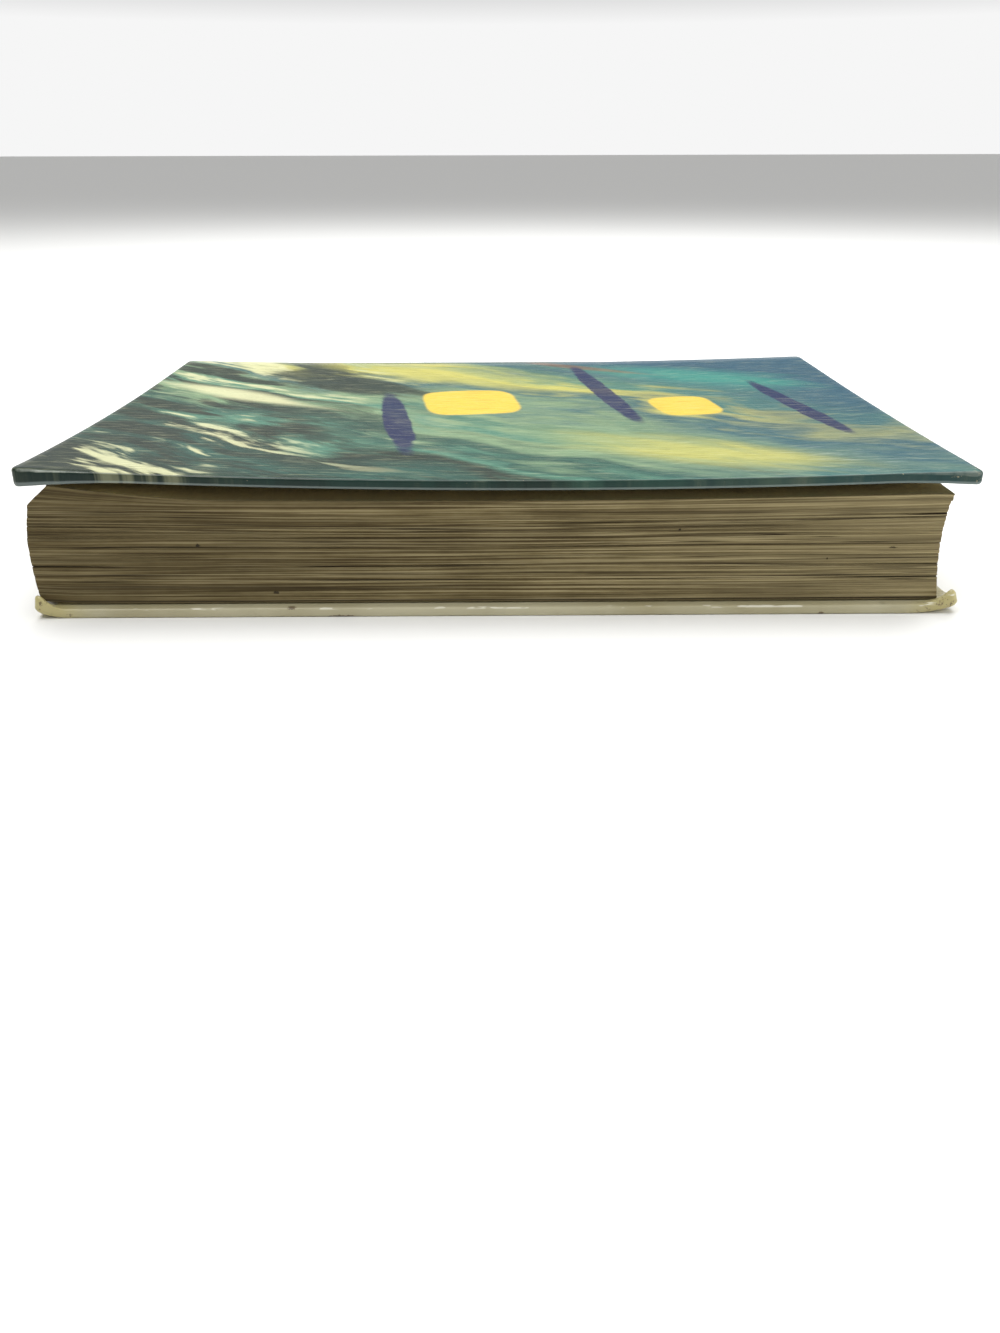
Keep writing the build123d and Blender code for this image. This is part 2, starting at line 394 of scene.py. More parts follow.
@dataclass(frozen=True)
class PrintedCovering:
    """Laminated covering printed with loose painted fields that run over the cover's edges."""

    deep: Colour = paint(38, 50, 42)
    sea: Colour = paint(48, 88, 78)
    sage: Colour = paint(128, 154, 118)
    teal: Colour = paint(82, 130, 110)
    slate: Colour = paint(66, 104, 104)
    blue: Colour = paint(42, 84, 104)
    straw: Colour = paint(196, 190, 98)
    gold: Colour = paint(230, 196, 74)
    turquoise: Colour = paint(60, 150, 132)
    navy: Colour = paint(16, 24, 78)
    cream: Colour = paint(218, 218, 172)
    rust: Colour = paint(130, 84, 52)
    board_grey: Colour = paint(186, 172, 140)
    scuff: Colour = paint(190, 202, 200)
    # Painted shade colour for the cover's narrow sides.
    edge_shade: Colour = paint(20, 36, 32)
    # Painted highlight colour for the upper rounding of the fore edge.
    painted_edge_highlight: Colour = paint(228, 235, 220)
    outer_face: float = 33.6 * MM
    band_angle: float = math.radians(33.5)
    band_span: float = 270 * MM
    sway: Scale = (30 * MM, 30 * MM, 0.0)

    def patches(self) -> list[Patch]:
        """The painted fields that lie over the slanting bands."""
        return [
            Patch(self.straw, (52, -62), 34, 11, turn=-30, soft=0.7, ragged=1.6, strength=0.75),
            Patch(self.straw, (-22, 62), 46, 13, turn=-34, soft=0.7, ragged=1.6, strength=0.8),
            Patch(self.turquoise, (70, 46), 34, 12, turn=-32, soft=0.7, ragged=1.4, strength=0.7),
            Patch(self.deep, (-58, 46), 40, 13, turn=-34, squareness=1.6, ragged=1.6, strength=0.85),
            Patch(
                self.cream, (-88, 20), 34, 6, turn=-33, squareness=1.2, soft=0.5, ragged=1.4, strength=0.85
            ),
            Patch(
                self.rust, (30, 70), 34, 3, turn=-34, squareness=1.2, soft=0.5, ragged=1.0, strength=0.55
            ),
            Patch(self.navy, (-30, -20), 4.0, 40, turn=8, squareness=2.4, soft=0.12, strength=0.92),
            Patch(self.navy, (36, 24), 3.4, 44, turn=8, squareness=2.4, soft=0.12, strength=0.92),
            Patch(self.navy, (94, -6), 2.8, 40, turn=8, squareness=2.4, soft=0.12),
            Patch(self.gold, (-8, 8), 15, 19, turn=8, squareness=4, soft=0.05, ragged=0.12, strength=1.0),
            Patch(self.gold, (60, -2), 10, 14, turn=8, squareness=4, soft=0.06, ragged=0.12, strength=0.95),
        ]

    def ground(self, bench: NodeBench, share: Flow) -> Flow:
        """The slanting bands of soft colour.

        Args:
            bench: the material's bench.
            share: the place across the bands, from 0 to 1.

        Returns:
            The bands' colour.
        """
        return bench.ramp(
            share,
            (0.05, self.deep),
            (0.15, self.sea),
            (0.21, self.deep),
            (0.27, self.teal),
            (0.31, self.sea),
            (0.39, self.sage),
            (0.45, self.teal),
            (0.50, self.sage),
            (0.56, self.slate),
            (0.62, self.straw),
            (0.67, self.teal),
            (0.74, self.slate),
            (0.84, self.blue),
        )

    def edges(
        self, bench: NodeBench, colour: Flow, along: Flow, from_fore_edge: Flow, edge: Flow
    ) -> Flow:
        """Paint shade onto the covering where it turns over the board, and a painted highlight along the
        upper rounding of its fore edge.

        Args:
            bench: the material's bench.
            colour: the print so far.
            along: the place along the spine.
            from_fore_edge: the distance from the fore edge.
            edge: 1 on the cover's narrow sides.

        Returns:
            The print with its painted edge shade and painted highlight.
        """
        _, _, level = bench.parts(bench.noted(FLAT_PLACE))
        inward = (level - self.outer_face).size()
        # Painted shade: the narrow sides are darkened towards a near-black teal.
        colour = bench.mix(edge * 0.76, colour, self.edge_shade)
        # A paler band along the lower rounding of the narrow sides, in the scuff colour.
        lower = inward.band(2.0 * MM, 2.6 * MM, 0.3 * MM) * edge
        colour = bench.mix(lower * 0.22, colour, self.scuff)
        # Painted highlight: a broken pale line along the upper rounding of the fore edge, strongest towards
        # the tail.
        edge_highlight_line = 1 - (from_fore_edge + inward).step(0.24 * MM, 0.4 * MM)
        broken = bench.clouds(bench.vector(along * 160, 0.0, 0.0), 1.0, 4, 0.7).step(0.3, 0.55)
        tail_part = (1 - along.step(-60 * MM, 20 * MM)) * along.step(-120 * MM, -100 * MM)
        reach = tail_part * 0.66 + 0.1
        return bench.mix(edge_highlight_line * broken * reach, colour, self.painted_edge_highlight)

    def strokes(self, bench: NodeBench, flat: Flow) -> Flow:
        """Noise about zero in long and short strokes that follow the slant of the bands."""
        sway = bench.node("ShaderNodeTexNoise", inputs={"Vector": flat, "Scale": 16, "Detail": 1}, output=1)
        sway_inputs = {0: sway, 1: self.sway, 2: flat}
        swayed = bench.node("ShaderNodeVectorMath", {"operation": "MULTIPLY_ADD"}, sway_inputs)
        brush = bench.streaks(swayed, (13, 110, 0), 5, 0.6, turn=self.band_angle) - 0.5
        daub = bench.streaks(swayed, (22, 60, 0), 4, 0.55, turn=self.band_angle) - 0.5
        return brush + daub

    def paintwork(self, bench: NodeBench, flat: Flow, wander: Flow) -> Flow:
        """The print over the whole cover, without its wear.

        Args:
            bench: the material's bench.
            flat: the place on the cover, seen from above.
            wander: noise about zero that sways the bands.

        Returns:
            The print's colour.
        """
        along, across, _ = bench.parts(flat)
        stroke = self.strokes(bench, flat)
        slant = along * math.sin(self.band_angle) + across * math.cos(self.band_angle)
        share = slant * (1 / self.band_span) + 0.5 + wander * 0.42 + stroke * 0.2
        colour = self.ground(bench, share)
        tail_part = 1 - along.step(-85 * MM, 0.0)
        shaded = 1 - stroke.step(-0.10, 0.06)
        colour = bench.mix(shaded * (tail_part * 0.8 + 0.15), colour, self.deep)
        colour = bench.mix(stroke.step(0.07, 0.18) * tail_part * 0.8, colour, self.cream)
        head_part = along.step(20 * MM, 100 * MM)
        colour = bench.mix(head_part * 0.6, colour, self.blue)
        for patch in self.patches():
            colour = bench.mix(patch.mask(along, across, stroke), colour, patch.colour)
        hatch = bench.streaks(flat, (90, 760, 0), 5, 0.7)
        colour = bench.mix(hatch.step(0.5, 0.72) * 0.26, colour, self.cream)
        return bench.mix((1 - hatch.step(0.28, 0.5)) * 0.36, colour, self.deep)

    def material(self) -> bpy.types.Material:
        """Build the covering's node material."""
        bench = ShaderBench("printed_covering")
        place = bench.place()
        along, across, _ = bench.parts(place)
        flat = bench.scaled(place, (1, 1, 0))
        wander = bench.clouds(flat, 13, 3, 0.5) - 0.5
        colour = self.paintwork(bench, flat, wander)

        from_ends = HALF_LENGTH - along.size()
        from_fore_edge = across - FORE_EDGE
        from_rim = from_ends.smaller(from_fore_edge)
        edge = 1 - from_rim.step(0.2 * MM, 0.65 * MM)
        colour = self.edges(bench, colour, along, from_fore_edge, edge)
        fleck = bench.clouds(place, 900, 3, 0.7)
        corner = (1 - (from_ends + from_fore_edge).step(3 * MM, 9 * MM)) * along.step(0.0, 50 * MM)
        rubbed = fleck.step(0.60, 0.66) * corner + fleck.step(0.72, 0.76) * 0.8
        colour = bench.mix(rubbed * (1 - from_rim.step(0.7 * MM, 1.4 * MM)), colour, self.board_grey)
        scratch = bench.streaks(flat, (60, 900, 0), 3, 0.7, turn=0.05)
        scuffed = Patch(self.scuff, (88, -74), 15, 12, soft=0.8, ragged=1.0, strength=0.8)
        scuffs = scratch.step(0.55, 0.68) * scuffed.mask(along, across, wander)
        colour = bench.mix(scuffs * 0.55, colour, self.scuff)
        grain = bench.clouds(place, 1500, 3)
        return bench.finish(
            {
                "Base Color": colour,
                "Roughness": scratch * 0.16 + scuffs * 0.2 + 0.2,
                "Specular IOR Level": 0.16,
                "Coat Weight": (1 - edge) * 0.12,
                "Coat Roughness": 0.1,
                "Normal": bench.relief(grain * 0.5 + scratch * 0.5, 0.02 * MM, 0.35),
            }
        )


@dataclass(frozen=True)
class SpineCloth:
    """The print's plainer colours where it runs round the spine, rubbed along ridges and ends."""

    deep: Colour = paint(36, 66, 68)
    sea: Colour = paint(50, 96, 98)
    blue: Colour = paint(46, 88, 106)
    light: Colour = paint(104, 148, 136)
    board_grey: Colour = paint(186, 172, 140)
    middle_height: float = 16.8 * MM
    ridge_half: float = 15.6 * MM
    groove_wall: float = 87 * MM

    def material(self) -> bpy.types.Material:
        """Build the spine covering's node material."""
        bench = ShaderBench("spine_covering")
        place = bench.place()
        along, across, height = bench.parts(place)
        round_back = bench.vector(along, across - height, 0.0)
        brush = bench.streaks(round_back, (16, 150, 0), 5, 0.6)
        wander = bench.streaks(round_back, (14, 30, 0), 3, 0.5) - 0.5
        share = along * 3.6 + 0.5 + wander * 0.8
        colour = bench.ramp(share, (0.1, self.deep), (0.45, self.sea), (0.6, self.deep), (0.9, self.blue))
        colour = bench.mix(brush.step(0.46, 0.72) * 0.5, colour, self.light)
        colour = bench.mix((1 - brush.step(0.30, 0.48)) * 0.5, colour, self.deep)
        from_ends = HALF_LENGTH - along.size()
        from_middle = (height - self.middle_height).size()
        ridge = from_middle.step(self.ridge_half - 0.5 * MM, self.ridge_half - 0.05 * MM)
        fleck = bench.streaks(place, (500, 900, 900), 3, 0.7)
        worn_end = 1 - from_ends.step(0.2 * MM, 2.2 * MM)
        worn = ridge * fleck.step(0.56, 0.70) * 0.6 + worn_end * fleck.step(0.5, 0.64)
        outside = across.step(self.groove_wall - 0.3 * MM, self.groove_wall)
        colour = bench.mix(worn * outside * 0.85, colour, self.board_grey)
        crack = bench.streaks(place, (30, 700, 700), 3, 0.6)
        grain = bench.clouds(place, 1500, 3)
        return bench.finish(
            {
                "Base Color": colour,
                "Roughness": crack * 0.2 + 0.24,
                "Specular IOR Level": 0.3,
                "Coat Weight": 0.1,
                "Coat Roughness": 0.12,
                "Normal": bench.relief(grain * 0.4 + crack * 0.6, 0.04 * MM, 0.5),
            }
        )


@dataclass(frozen=True)
class CreamCovering:
    """Plain cream covering, stained along its edges, with painted highlight flecks along the top of its
    rim.
    """

    cream: Colour = paint(182, 176, 146)
    dull: Colour = paint(160, 152, 118)
    yellowed: Colour = paint(170, 158, 96)
    stain: Colour = paint(84, 66, 40)
    # Painted highlight colour for flecks along the rim's upper arris.
    highlight_white: Colour = paint(226, 224, 206)
    stains: tuple[Spot, ...] = (
        Spot(x=-39.8, z=0.2, length=4.6, thickness=0.5),
        Spot(x=-52.7, z=2.4, length=1.1, thickness=0.5),
        Spot(x=82.6, z=0.3, length=0.9, thickness=0.5),
    )

    def material(self) -> bpy.types.Material:
        """Build the covering's node material."""
        bench = ShaderBench("cream_covering")
        place = bench.place()
        along, across, height = bench.parts(place)
        mottle = bench.clouds(place, 30, 4)
        colour = bench.mix(mottle.step(0.38, 0.72), self.cream, self.dull)
        from_ends = HALF_LENGTH - along.size()
        from_fore_edge = across - FORE_EDGE
        corner = 1 - (from_ends + from_fore_edge).step(4 * MM, 16 * MM)
        colour = bench.mix(corner * 0.75, colour, self.yellowed)
        fleck = bench.clouds(place, 700, 3, 0.7)
        colour = bench.mix(fleck.step(0.58, 0.66) * corner * 0.8, colour, self.stain)
        rim = 1 - (from_ends.smaller(from_fore_edge)).step(0.2 * MM, 1.0 * MM)
        # Painted highlights: pale flecks along the upper arris of the rim.
        highlight_flecks = bench.streaks(place, (160, 700, 700), 2, 0.5)
        upper = height.step(1.9 * MM, 2.3 * MM)
        colour = bench.mix(highlight_flecks.step(0.60, 0.66) * rim * upper * 0.8, colour, self.highlight_white)
        ragged = (bench.clouds(place, 1200, 2) - 0.5) * 2.2
        near = 1 - from_fore_edge.step(1 * MM, 2 * MM)
        for spot in self.stains:
            inked = spot.mask(bench, along, height, ragged)
            colour = bench.mix(inked * near * 0.85, colour, self.stain)
        smudge = bench.clouds(place, 75, 3, 0.6).step(0.66, 0.74)
        colour = bench.mix(smudge * 0.35, colour, self.stain)
        grain = bench.clouds(place, 1300, 3)
        return bench.finish(
            {
                "Base Color": colour,
                "Roughness": grain * 0.14 + 0.3,
                "Coat Weight": 0.15,
                "Coat Roughness": 0.12,
                "Normal": bench.relief(grain, 0.03 * MM, 0.4),
            }
        )


@dataclass(frozen=True)
class LeafEdges:
    """The edges of hundreds of tanned leaves, read where each leaf was before the block sagged.

    A line of painted shade between bundles of leaves runs where slow noise crosses a level; a table holds
    each level and its strength.
    """

    tan: Colour = paint(118, 105, 71)
    brown: Colour = paint(74, 62, 36)
    pale: Colour = paint(156, 143, 106)
    # Painted shade colour of the lines between bundles of leaves.
    crease_shade: Colour = paint(42, 33, 16)
    # Painted shade colour of the gaps between leaves and of the block's foot.
    gap_shade: Colour = paint(24, 19, 10)
    dirt: Colour = paint(30, 24, 14)
    foot: float = 3.2 * MM
    crease_shade_levels: tuple[tuple[float, float], ...] = (
        (0.5, 0.8),
        (0.42, 0.65),
        (0.58, 0.65),
        (0.46, 0.45),
        (0.54, 0.45),
    )
    specks: tuple[Spot, ...] = (
        Spot(x=-54.2, z=5.5, length=0.8, thickness=0.4),
        Spot(x=48.3, z=21.9, length=0.35, thickness=0.35),
        Spot(x=86.1, z=13.7, length=0.3, thickness=0.3),
        Spot(x=102.5, z=16.5, length=1.2, thickness=0.22),
        Spot(x=-72.0, z=18.0, length=0.6, thickness=0.5),
    )

    def material(self) -> bpy.types.Material:
        """Build the leaf edges' node material."""
        bench = ShaderBench("page_paper")
        leaf = bench.noted(LEAF_PLACE)
        gap_shade = bench.noted(LEAF_GAP, "Fac")
        along, across, height = bench.parts(leaf)
        fine = bench.streaks(leaf, (30, 30, 8200), 2, 0.5)
        medium = bench.streaks(leaf, (11, 11, 1900), 3, 0.6)
        broad = bench.streaks(leaf, (8, 8, 420), 3, 0.6)
        blotch = bench.streaks(leaf, (60, 60, 160), 4, 0.65)
        tone = fine * 0.1 + medium * 0.68 + broad * 0.1 + blotch * 0.12
        colour = bench.ramp(tone, (0.44, self.brown), (0.5, self.tan), (0.57, self.pale))
        # Painted shade darkens the leaf edges towards the tail, and painted light makes them paler towards
        # the head.
        tail_shade = (1 - along.step(-120 * MM, 50 * MM)) * 0.5
        colour = bench.mix(tail_shade, colour, self.brown)
        colour = bench.mix(along.step(0.0, 120 * MM) * 0.42, colour, self.pale)
        drift = bench.streaks(leaf, (2.2, 2.2, 430), 3, 0.55)
        fade = bench.streaks(leaf, (9, 9, 300), 2, 0.5).step(0.32, 0.56)
        deeper = along.step(-20 * MM, 100 * MM) * 0.3 + 1
        # Painted shade: dark lines between bundles of leaves, deeper towards the head.
        for level, strength in self.crease_shade_levels:
            crease_shade = 1 - (drift - level).size().step(0.002, 0.014)
            colour = bench.mix(crease_shade * fade * deeper * strength, colour, self.crease_shade)
        # Painted shade in the gaps between sections of leaves.
        colour = bench.mix(gap_shade.step(0.2, 1.0) * 0.8, colour, self.gap_shade)
        # Painted shadow along the foot of the block, where it meets the back cover.
        foot = 1 - (height - self.foot).step(0.1 * MM, 0.55 * MM)
        colour = bench.mix(foot * 0.8, colour, self.gap_shade)
        ragged = (bench.clouds(leaf, 2500, 2) - 0.5) * 1.6
        near = 1 - across.step(-86 * MM, -84 * MM)
        for spot in self.specks:
            inked = spot.mask(bench, along, height, ragged)
            colour = bench.mix(inked * near * 0.85, colour, self.dirt)
        return bench.finish(
            {
                "Base Color": colour,
                "Roughness": 0.85,
                "Specular IOR Level": 0.25,
                "Normal": bench.relief(fine * 0.6 + medium * 0.4, 0.08 * MM, 0.8),
            }
        )


@dataclass(frozen=True)
class PlainPaper:
    """Uncoated paper or board with fine fibres, darker towards its edges."""

    name: str
    tone: Colour
    shade: Colour
    fibre_scale: float = 1800
    leaf_edge: Colour = paint(92, 80, 50)
    fore: float = -89 * MM

    def material(self) -> bpy.types.Material:
        """Build the paper's node material."""
        bench = ShaderBench(self.name)
        place = bench.place()
        along, across, _ = bench.parts(place)
        fibres = bench.clouds(bench.scaled(place, (1, 0.35, 1)), self.fibre_scale, 3, 0.6)
        age = bench.clouds(place, 18, 4, 0.6)
        from_rim = (HALF_LENGTH - along.size()).smaller(across - FORE_EDGE)
        tanned = 1 - (from_rim + (age - 0.5) * (20 * MM)).step(2 * MM, 16 * MM)
        colour = bench.mix((age * 0.6 + fibres * 0.4).step(0.35, 0.7) * 0.7, self.tone, self.shade)
        colour = bench.mix(tanned * 0.6, colour, self.shade)
        _, flat_across, _ = bench.parts(bench.noted(FLAT_PLACE))
        at_fore_edge = 1 - flat_across.step(self.fore, self.fore + 0.5 * MM)
        colour = bench.mix(at_fore_edge * 0.9, colour, self.leaf_edge)
        return bench.finish(
            {
                "Base Color": colour,
                "Roughness": 0.8,
                "Specular IOR Level": 0.3,
                "Normal": bench.relief(fibres, 0.03 * MM, 0.4),
            }
        )


@dataclass(frozen=True)
class WovenCloth:
    """Cloth whose threads cross, with stripes where two colours are given."""

    name: str
    first: Colour
    second: Colour
    stripe: float = 2.4 * MM
    threads: float = 0.5 * MM

    def material(self) -> bpy.types.Material:
        """Build the cloth's node material."""
        bench = ShaderBench(self.name)
        along, across, height = bench.parts(bench.place())
        turn = 2 * math.pi
        rows = (height * (turn / self.threads)).sine()
        columns = ((along + across) * (turn / self.threads)).sine()
        weave = rows * columns * 0.5 + 0.5
        stripes = (height * (turn / self.stripe)).sine().step(-0.15, 0.15)
        return bench.finish(
            {
                "Base Color": bench.mix(stripes, self.first, self.second),
                "Roughness": 0.75,
                "Normal": bench.relief(weave, 0.08 * MM, 0.8),
            }
        )


@dataclass(frozen=True)
class PaleFloor:
    """A plain pale surface to stand on."""

    tone: Colour = paint(236, 236, 234)

    def material(self) -> bpy.types.Material:
        """Build the floor's material."""
        return ShaderBench("pale_floor").finish({"Base Color": self.tone, "Roughness": 0.9})


# Mesh bench


class MeshBench:
    """Shapes one new piece with Blender's edit-mode operators."""

    def __init__(self, name: str, low: Vector, high: Vector) -> None:
        """Start from a block that fills the box between two corners."""
        bpy.ops.object.select_all(action="DESELECT")
        middle = (low + high) / 2
        bpy.ops.mesh.primitive_cube_add(size=1, location=middle, scale=high - low)
        self.piece = bpy.context.object
        self.piece.name = name
        self.piece.data.name = name
        self.apply_place()

    def apply_place(self) -> None:
        """Put the object's place and scale into its mesh."""
        bpy.ops.object.transform_apply(location=True, rotation=True, scale=True)

    def edit(self, mode: str) -> bmesh.types.BMesh:
        """Enter edit mode with nothing selected and return the mesh."""
        bpy.context.view_layer.objects.active = self.piece
        bpy.ops.object.mode_set(mode="EDIT")
        bpy.ops.mesh.select_mode(type=mode)
        bpy.ops.mesh.select_all(action="DESELECT")
        return bmesh.from_edit_mesh(self.piece.data)

    def leave(self) -> None:
        """Return to object mode."""
        bpy.ops.object.mode_set(mode="OBJECT")

    def pick_edges(self, wanted: EdgeTest) -> None:
        """Enter edit mode with the wanted edges selected."""
        mesh = self.edit("EDGE")
        for edge in mesh.edges:
            edge.select_set(wanted(edge))
        bmesh.update_edit_mesh(self.piece.data)

    def pick_faces(self, wanted: FaceTest) -> None:
        """Enter edit mode with the wanted faces selected."""
        mesh = self.edit("FACE")
        for face in mesh.faces:
            face.select_set(wanted(face))
        bmesh.update_edit_mesh(self.piece.data)

    def divide(self, axis: Axis, cuts: int) -> None:
        """Cut every edge that runs along an axis into equal lengths."""
        self.pick_edges(lambda edge: runs_along(edge, axis))
        bpy.ops.mesh.subdivide(number_cuts=cuts)
        self.leave()

    def round_edges(self, wanted: EdgeTest, radius: float, segments: int) -> None:
        """Bevel the wanted edges."""
        self.pick_edges(wanted)
        bpy.ops.mesh.bevel(offset=radius, segments=segments, profile=0.5, affect="EDGES")
        self.leave()

    def slice(self, axis: Axis, places: list[float]) -> None:
        """Cut the whole mesh by planes across an axis."""
        self.edit("FACE")
        normal = Vector((0, 0, 0))
        normal[axis.value] = 1
        for place in places:
            bpy.ops.mesh.select_all(action="SELECT")
            bpy.ops.mesh.bisect(plane_co=normal * place, plane_no=normal, threshold=1e-6)
        self.leave()

    def drop_faces(self, wanted: FaceTest) -> None:
        """Delete the wanted faces."""
        self.pick_faces(wanted)
        bpy.ops.mesh.delete(type="FACE")
        self.leave()

    def thicken(self, thickness: float) -> None:
        """Give an open skin its thickness, inwards."""
        skin = self.piece.modifiers.new("thickness", "SOLIDIFY")
        skin.thickness = thickness
        skin.offset = -1
        skin.use_even_offset = True
        bpy.context.view_layer.objects.active = self.piece
        bpy.ops.object.modifier_apply(modifier=skin.name)

    def note_places(self, name: str) -> None:
        """Store where every vertex is now as an attribute."""
        places = self.piece.data.attributes.new(name, "FLOAT_VECTOR", "POINT")
        for vertex in self.piece.data.vertices:
            places.data[vertex.index].vector = vertex.co

    def move(self, mover: Callable[[Vector], Vector]) -> None:
        """Move every vertex as mover says."""
        for vertex in self.piece.data.vertices:
            vertex.co = mover(vertex.co.copy())
        self.piece.data.update()

    def turn_out(self) -> None:
        """Make every face point outwards again."""
        self.edit("FACE")
        bpy.ops.mesh.select_all(action="SELECT")
        bpy.ops.mesh.normals_make_consistent(inside=False)
        self.leave()

    def smooth(self) -> None:
        """Shade the piece smooth except over sharp edges."""
        bpy.ops.object.select_all(action="DESELECT")
        self.piece.select_set(True)
        bpy.context.view_layer.objects.active = self.piece
        bpy.ops.object.shade_smooth_by_angle(angle=SMOOTH_ANGLE)


def runs_along(edge: bmesh.types.BMEdge, axis: Axis) -> bool:
    """Whether an edge runs along an axis."""
    run = edge.verts[1].co - edge.verts[0].co
    return abs(run[axis.value]) > 0.99 * run.length


def spread(low: float, high: float, pace: float) -> list[float]:
    """Evenly spaced places strictly between two ends, about a pace apart."""
    count = max(1, round((high - low) / pace))
    return [blend(low, high, step / count) for step in range(1, count)]


def dress(obj: bpy.types.Object, material: bpy.types.Material) -> None:
    """Give a piece its one material."""
    obj.data.materials.clear()
    obj.data.materials.append(material)
    for polygon in obj.data.polygons:
        polygon.material_index = 0


# Covers


@dataclass(frozen=True)
class Warp:
    """How far a cover stands from its flat place at the spine side's middle."""

    lift: float = 0.0
    lift_start: float = 130 * MM
    tail_at_spine: float = 0.0
    tail_at_fore_edge: float = 0.0
    head_at_spine: float = 0.0
    head_at_fore_edge: float = 0.0

    def rise(self, along: float, from_fore_edge: float) -> float:
        """Rise of the cover.

        Args:
            along: the place along the spine, from its middle.
            from_fore_edge: the distance from the cover's fore edge.

        Returns:
            The rise over the flat place.
        """
        share = (max(self.lift_start - from_fore_edge, 0.0) / self.lift_start) ** 2
        tail = blend(self.tail_at_spine, self.tail_at_fore_edge, share)
        head = blend(self.head_at_spine, self.head_at_fore_edge, share)
        reach = along / HALF_LENGTH
        bow = (head + tail) / 2 * reach**2 + (head - tail) / 2 * reach
        return self.lift * share + bow


@dataclass(frozen=True)
class BentCorner:
    """A fore-edge corner that years of use have bent and frayed."""

    end: End
    rise: float
    reach: float
    swell: float = 0.0
    swell_reach: float = 8 * MM
    blunt: float = 0.0
    fray: float = 0.0
    nose: float = 0.0
    bull: float = 0.0

    def shift(self, point: Vector, inward: float) -> Vector:
        """How far the corner's wear moves a point.

        Args:
            point: the point on the unworn cover.
            inward: 0 on the cover's outer face and 1 on its inner face.

        Returns:
            The move.
        """
        from_end = HALF_LENGTH - self.end.value * point.x
        from_fore_edge = point.y - FORE_EDGE
        distance = from_end + from_fore_edge
        share = max(1 - distance / self.reach, 0.0) ** 2
        lip = max(1 - distance / self.swell_reach, 0.0) ** 1.6
        rough = noise.noise_vector(point * 420) * self.fray * lip
        rounding = self.bull * (2 * inward - 1) ** 2
        pull = (blend(self.blunt - self.nose, self.blunt, inward) + rounding) * lip
        rise = self.rise * share + self.swell * inward * lip
        return Vector((-self.end.value * pull, pull, rise)) + rough


